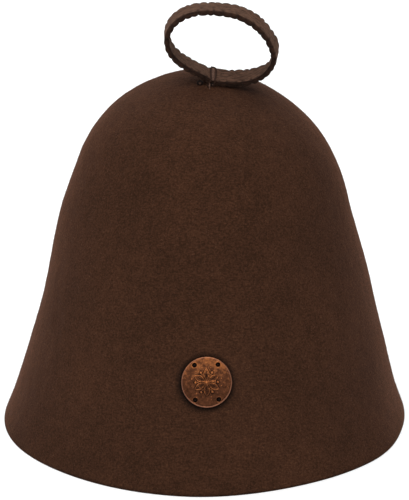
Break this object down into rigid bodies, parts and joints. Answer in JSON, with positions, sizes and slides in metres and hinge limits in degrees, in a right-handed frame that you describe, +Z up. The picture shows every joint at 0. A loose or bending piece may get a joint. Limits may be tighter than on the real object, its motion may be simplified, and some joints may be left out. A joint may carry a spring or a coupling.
{
  "type": "felt sauna hat",
  "caption": "Bell-shaped felt sauna hat, hollow and open below, with a felt hanging loop on top and a round copper badge sewn on the front.",
  "frame": {"origin": "centre of the rim, on the plane that the rim rests on", "axes": "+Z up through the crown, -Y to the front where the badge is, +X to the right seen from the front"},
  "size_m": [0.27, 0.286, 0.2829],
  "materials": {
    "crown_felt": "dark brown pressed wool felt, matt and slightly fuzzy",
    "strap_felt": "brown wool felt strap with overcast edges",
    "thread": "dark brown sewing thread",
    "badge_copper": "antique copper, mottled dark patina with rubbed bright edges"
  },
  "bodies": {
    "root": {"crown": "crown_felt", "loop_strap": "strap_felt", "binding_thread": "thread", "badge_disc": "badge_copper"}
  },
  "joints": []
}
